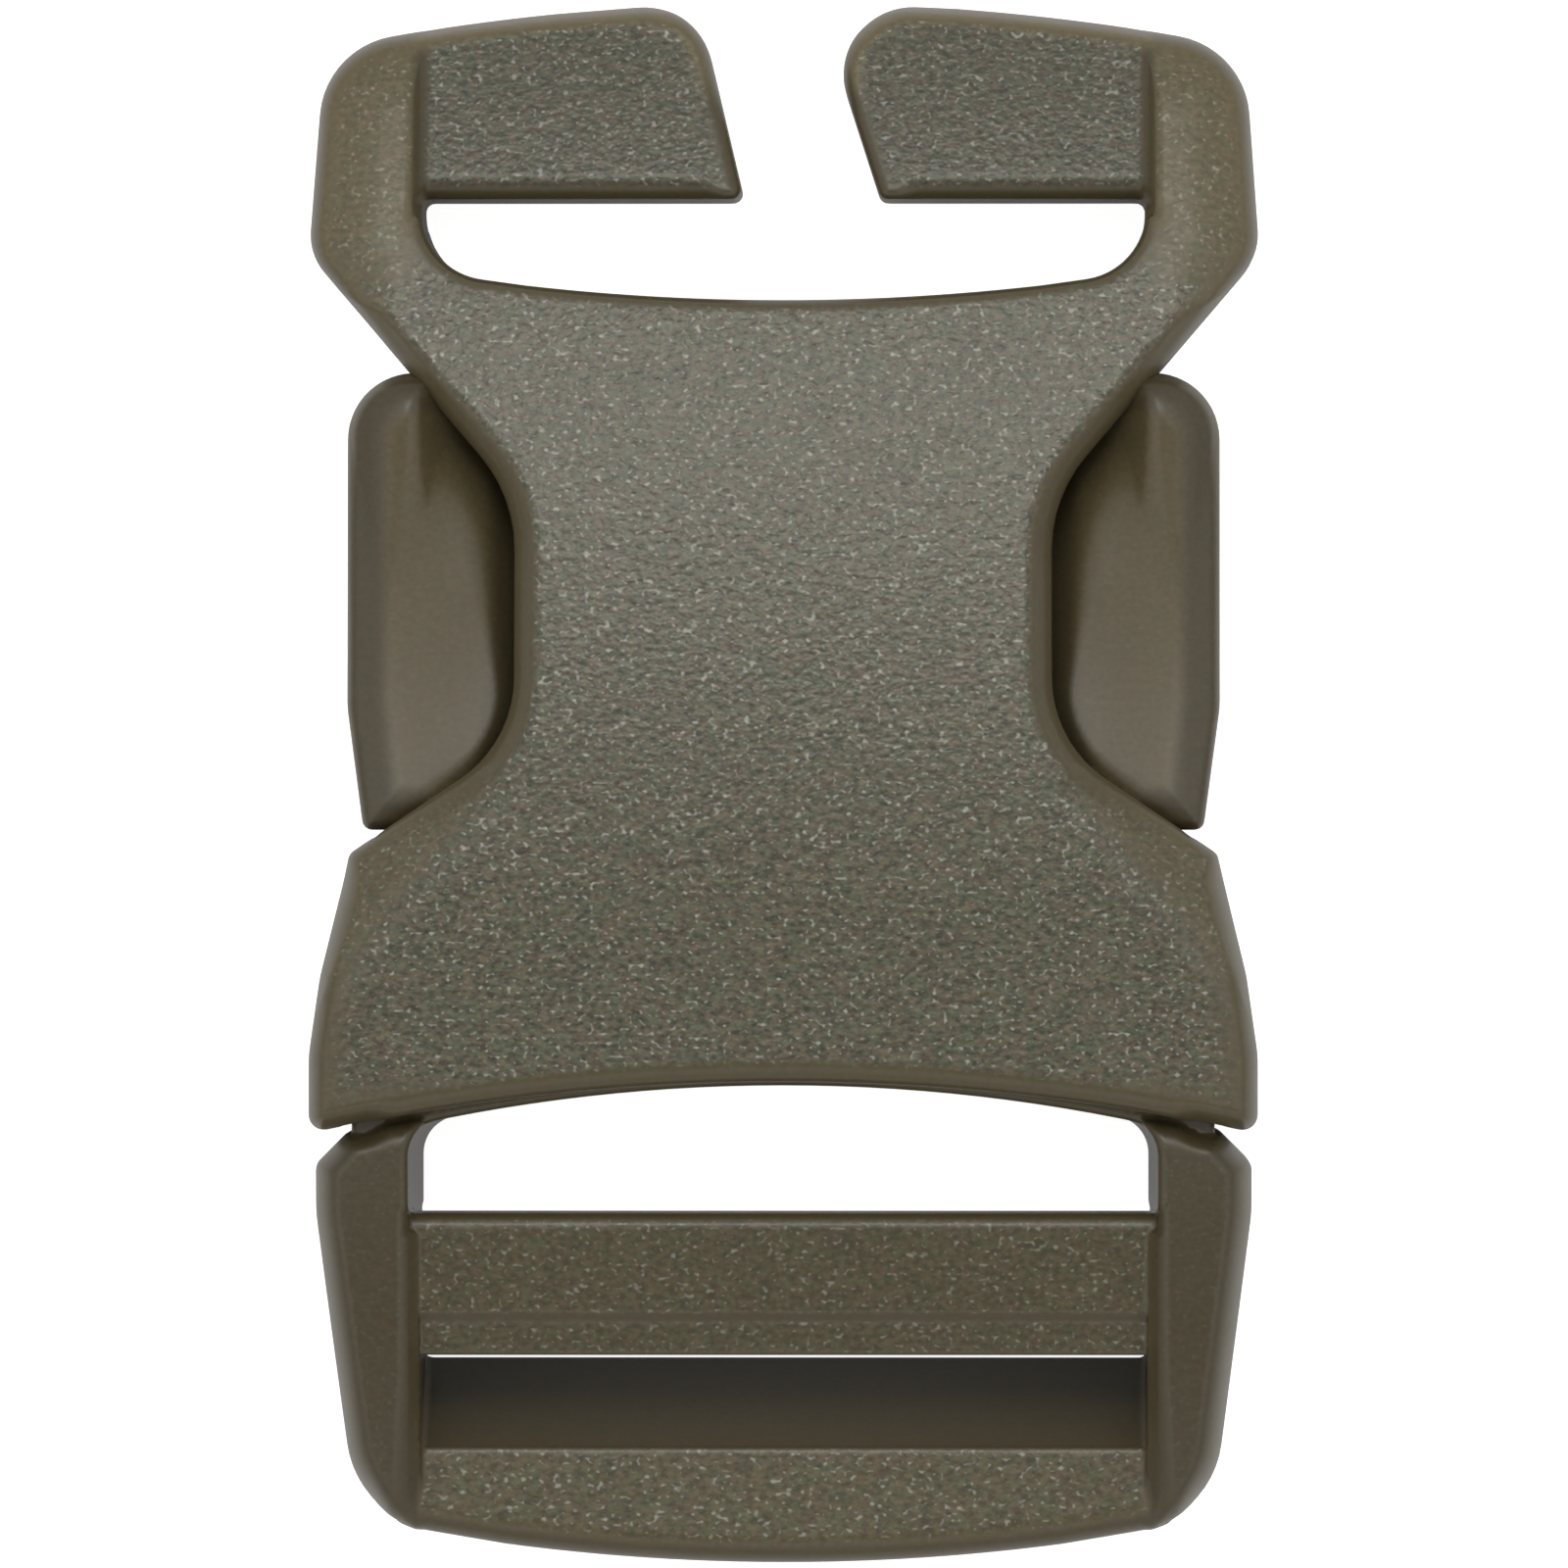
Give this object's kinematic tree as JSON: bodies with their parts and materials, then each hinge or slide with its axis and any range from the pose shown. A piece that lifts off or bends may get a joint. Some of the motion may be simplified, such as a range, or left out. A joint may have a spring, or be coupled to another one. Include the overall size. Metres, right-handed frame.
{
  "type": "side release buckle",
  "caption": "Side release buckle for 25 mm webbing, shown fastened: a socket with a split webbing bar, and a plug with spring prongs, a ladder bar and a tab bar.",
  "frame": {"origin": "middle of the back, on the plane that the buckle lies on", "axes": "+Z out of the face, +Y along the buckle towards the socket's split bar, +X across it"},
  "size_m": [0.034, 0.0561, 0.011],
  "materials": {
    "socket_plastic": "grey olive moulded acetal, fine spark-eroded texture with smooth edge bands",
    "plug_plastic": "grey olive moulded acetal, satin rails and buttons, textured bars"
  },
  "bodies": {
    "root": {"socket": "socket_plastic", "plug": "plug_plastic"}
  },
  "joints": []
}
